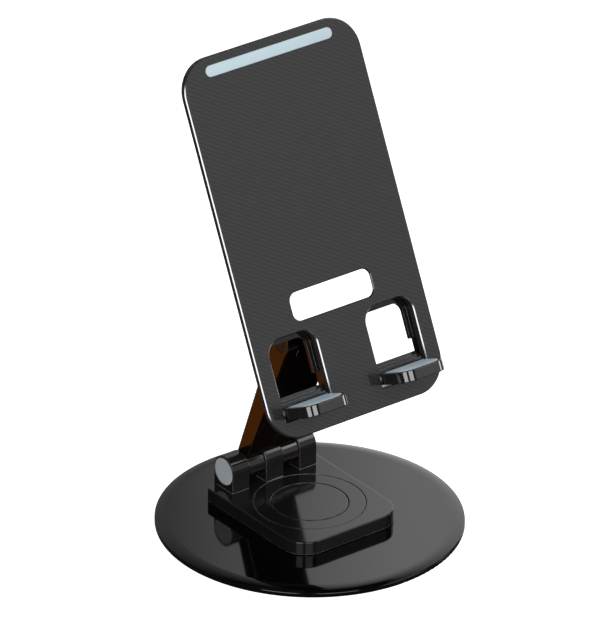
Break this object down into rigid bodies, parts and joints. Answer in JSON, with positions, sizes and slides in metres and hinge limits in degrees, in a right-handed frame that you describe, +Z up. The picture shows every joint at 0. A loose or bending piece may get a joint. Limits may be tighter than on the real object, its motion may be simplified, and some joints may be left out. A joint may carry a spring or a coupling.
{
  "type": "phone stand",
  "caption": "Folding desk phone stand: round swivel base, hinged arm and tilting cradle plate with flip-out hooks and a cable slot.",
  "frame": {"origin": "centre of the base disc, on the plane it rests on", "axes": "+Z up, -Y towards the user, +X to the user's right along the hinge pins"},
  "size_m": [0.09, 0.09, 0.1463],
  "materials": {
    "black_gloss": "high gloss black",
    "graphite_panel": "semi-gloss dark graphite with fine diagonal lines",
    "dark_shell": "satin black",
    "bronze_arm": "polished dark bronze-brown",
    "pale_strip": "smooth pale blue-grey",
    "pad_rubber": "soft blue-grey silicone",
    "foot_rubber": "matt black non-slip",
    "hinge_cap": "satin grey",
    "steel": "turned steel",
    "washer_plastic": "natural acetal"
  },
  "bodies": {
    "base": {"base_disc": "black_gloss", "foot_pad": "foot_rubber", "swivel_axle": "steel", "thrust_washer": "washer_plastic", "wave_washer": "steel", "axle_nut": "steel"},
    "platform": {"platform": "black_gloss", "trim_ring": "black_gloss", "centre_cap": "black_gloss", "lower_hinge_pin": "steel", "lower_spring_washer": "steel", "lower_hinge_nut": "steel", "hinge_cap_left": "hinge_cap", "hinge_cap_right": "hinge_cap", "lower_friction_washers": "washer_plastic"},
    "arm": {"arm": "bronze_arm", "upper_hinge_pin": "steel", "upper_hinge_nut": "steel", "upper_friction_washers": "washer_plastic"},
    "cradle": {"front_panel": "graphite_panel", "top_strip": "pale_strip", "back_shell": "dark_shell", "hook_housing": "dark_shell", "housing_screws": "steel", "hinge_bracket": "bronze_arm", "bracket_screws": "steel", "left_hook_pin": "steel", "left_hook_washers": "washer_plastic", "right_hook_pin": "steel", "right_hook_washers": "washer_plastic"},
    "left_hook": {"left_hook": "black_gloss", "left_hook_pad": "pad_rubber"},
    "right_hook": {"right_hook": "black_gloss", "right_hook_pad": "pad_rubber"}
  },
  "joints": [
    {"name": "swivel", "type": "hinge", "parent": "base", "child": "platform", "pos_m": [0, 0, 0.0029], "axis": [0, 0, 1], "continuous": true},
    {"name": "lower_hinge", "type": "hinge", "parent": "platform", "child": "arm", "pos_m": [0, 0.0212, 0.0121], "axis": [1, 0, 0], "range_deg": [-45, 40]},
    {"name": "upper_hinge", "type": "hinge", "parent": "arm", "child": "cradle", "pos_m": [0, 0.00355, 0.05977], "axis": [-1, 0, 0], "range_deg": [-40, 110]},
    {"name": "left_hook_fold", "type": "hinge", "parent": "cradle", "child": "left_hook", "pos_m": [-0.0174, -0.01879, 0.05189], "axis": [-1, 0, 0], "range_deg": [0, 90]},
    {"name": "right_hook_fold", "type": "hinge", "parent": "cradle", "child": "right_hook", "pos_m": [0.0174, -0.01879, 0.05189], "axis": [-1, 0, 0], "range_deg": [0, 90]}
  ]
}
